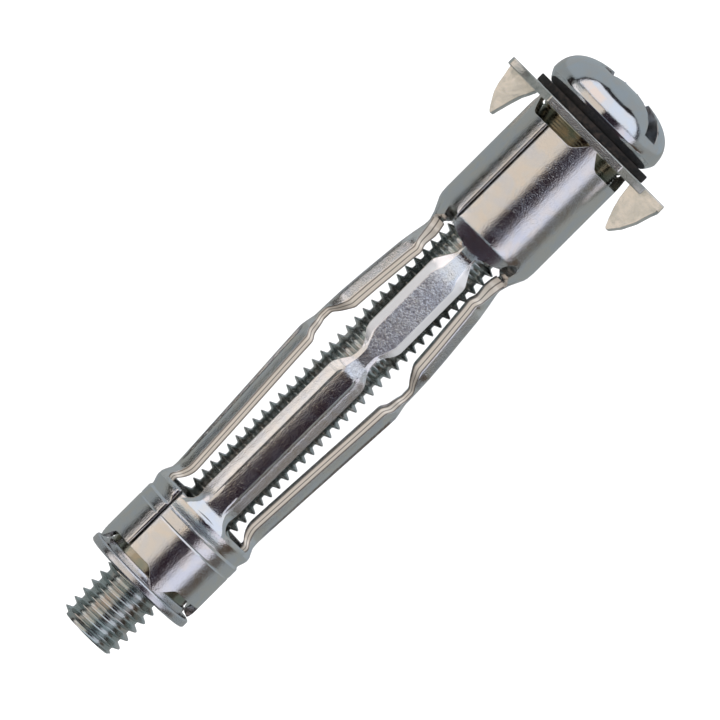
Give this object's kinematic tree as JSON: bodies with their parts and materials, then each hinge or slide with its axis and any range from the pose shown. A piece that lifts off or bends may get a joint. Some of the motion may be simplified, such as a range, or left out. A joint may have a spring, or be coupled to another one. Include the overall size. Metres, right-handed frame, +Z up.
{
  "type": "hollow wall anchor",
  "caption": "Hollow-wall anchor with a pan-head screw, retaining washer, clawed flange and a slotted sleeve whose legs fold out behind the board.",
  "frame": {"origin": "on the screw axis, in the plane where the flange plate meets the wall", "axes": "+Y along the screw into the wall, -Y towards the screw head, +X through one claw, +Z up; legs lie at +X, +Z, -X and -Z"},
  "size_m": [0.0176, 0.0642, 0.0122],
  "materials": {
    "zinc_screw": "bright zinc plating",
    "zinc_plate": "bright zinc plating",
    "zinc_sleeve": "bright zinc plating",
    "zinc_nut": "bright zinc plating",
    "black_fibre": "matt"
  },
  "bodies": {
    "wall_end": {"flange_plate": "zinc_plate", "front_collar": "zinc_sleeve"},
    "washer": {"washer": "black_fibre"},
    "screw": {"screw": "zinc_screw"},
    "nut_end": {"rear_collar": "zinc_sleeve", "threaded_nut": "zinc_nut"},
    "leg_1_front": {"leg_1_front_panel": "zinc_sleeve"},
    "leg_1_rear": {"leg_1_rear_panel": "zinc_sleeve"},
    "leg_1_foot_end": {"leg_1_foot": "zinc_sleeve"},
    "leg_2_front": {"leg_2_front_panel": "zinc_sleeve"},
    "leg_2_rear": {"leg_2_rear_panel": "zinc_sleeve"},
    "leg_2_foot_end": {"leg_2_foot": "zinc_sleeve"},
    "leg_3_front": {"leg_3_front_panel": "zinc_sleeve"},
    "leg_3_rear": {"leg_3_rear_panel": "zinc_sleeve"},
    "leg_3_foot_end": {"leg_3_foot": "zinc_sleeve"},
    "leg_4_front": {"leg_4_front_panel": "zinc_sleeve"},
    "leg_4_rear": {"leg_4_rear_panel": "zinc_sleeve"},
    "leg_4_foot_end": {"leg_4_foot": "zinc_sleeve"}
  },
  "joints": [
    {"name": "screw_withdraw", "type": "slide", "parent": "wall_end", "child": "washer", "axis": [0, -1, 0], "range_m": [0, 0.062]},
    {"name": "screw_turn", "type": "hinge", "parent": "washer", "child": "screw", "pos_m": [0, 0, 0], "axis": [0, 1, 0], "range_deg": [0, 5231.16]},
    {"name": "nut_pull", "type": "slide", "parent": "wall_end", "child": "nut_end", "axis": [0, -1, 0], "range_m": [0, 0.01453]},
    {"name": "leg_1_front_fold", "type": "hinge", "parent": "wall_end", "child": "leg_1_front", "pos_m": [0.0038, 0.0139, 0], "axis": [0, 0, -1], "range_deg": [0, 79.75]},
    {"name": "leg_1_middle_fold", "type": "hinge", "parent": "leg_1_front", "child": "leg_1_rear", "pos_m": [0.00495, 0.0256, 0], "axis": [0, 0, 1], "range_deg": [0, 115.65]},
    {"name": "leg_1_rear_fold", "type": "hinge", "parent": "nut_end", "child": "leg_1_foot_end", "pos_m": [0.0044, 0.0438, 0], "axis": [0, 0, 1], "range_deg": [0, 35.9], "deforming": ["leg_1_foot"]},
    {"name": "leg_2_front_fold", "type": "hinge", "parent": "wall_end", "child": "leg_2_front", "pos_m": [0, 0.0139, 0.0038], "axis": [1, 0, 0], "range_deg": [0, 79.75]},
    {"name": "leg_2_middle_fold", "type": "hinge", "parent": "leg_2_front", "child": "leg_2_rear", "pos_m": [0, 0.0256, 0.00495], "axis": [-1, 0, 0], "range_deg": [0, 115.65]},
    {"name": "leg_2_rear_fold", "type": "hinge", "parent": "nut_end", "child": "leg_2_foot_end", "pos_m": [0, 0.0438, 0.0044], "axis": [-1, 0, 0], "range_deg": [0, 35.9], "deforming": ["leg_2_foot"]},
    {"name": "leg_3_front_fold", "type": "hinge", "parent": "wall_end", "child": "leg_3_front", "pos_m": [-0.0038, 0.0139, 0], "axis": [0, 0, 1], "range_deg": [0, 79.75]},
    {"name": "leg_3_middle_fold", "type": "hinge", "parent": "leg_3_front", "child": "leg_3_rear", "pos_m": [-0.00495, 0.0256, 0], "axis": [0, 0, -1], "range_deg": [0, 115.65]},
    {"name": "leg_3_rear_fold", "type": "hinge", "parent": "nut_end", "child": "leg_3_foot_end", "pos_m": [-0.0044, 0.0438, 0], "axis": [0, 0, -1], "range_deg": [0, 35.9], "deforming": ["leg_3_foot"]},
    {"name": "leg_4_front_fold", "type": "hinge", "parent": "wall_end", "child": "leg_4_front", "pos_m": [0, 0.0139, -0.0038], "axis": [-1, 0, 0], "range_deg": [0, 79.75]},
    {"name": "leg_4_middle_fold", "type": "hinge", "parent": "leg_4_front", "child": "leg_4_rear", "pos_m": [0, 0.0256, -0.00495], "axis": [1, 0, 0], "range_deg": [0, 115.65]},
    {"name": "leg_4_rear_fold", "type": "hinge", "parent": "nut_end", "child": "leg_4_foot_end", "pos_m": [0, 0.0438, -0.0044], "axis": [1, 0, 0], "range_deg": [0, 35.9], "deforming": ["leg_4_foot"]}
  ],
  "couplings": [
    {"joint": "screw_turn", "follows": "nut_pull", "rad_per_m": 6283.2},
    {"joint": "leg_1_front_fold", "follows": "nut_pull", "rad_per_m": 95.788},
    {"joint": "leg_1_middle_fold", "follows": "nut_pull", "rad_per_m": 138.91},
    {"joint": "leg_1_rear_fold", "follows": "nut_pull", "rad_per_m": 43.12},
    {"joint": "leg_2_front_fold", "follows": "nut_pull", "rad_per_m": 95.788},
    {"joint": "leg_2_middle_fold", "follows": "nut_pull", "rad_per_m": 138.91},
    {"joint": "leg_2_rear_fold", "follows": "nut_pull", "rad_per_m": 43.12},
    {"joint": "leg_3_front_fold", "follows": "nut_pull", "rad_per_m": 95.788},
    {"joint": "leg_3_middle_fold", "follows": "nut_pull", "rad_per_m": 138.91},
    {"joint": "leg_3_rear_fold", "follows": "nut_pull", "rad_per_m": 43.12},
    {"joint": "leg_4_front_fold", "follows": "nut_pull", "rad_per_m": 95.788},
    {"joint": "leg_4_middle_fold", "follows": "nut_pull", "rad_per_m": 138.91},
    {"joint": "leg_4_rear_fold", "follows": "nut_pull", "rad_per_m": 43.12}
  ]
}
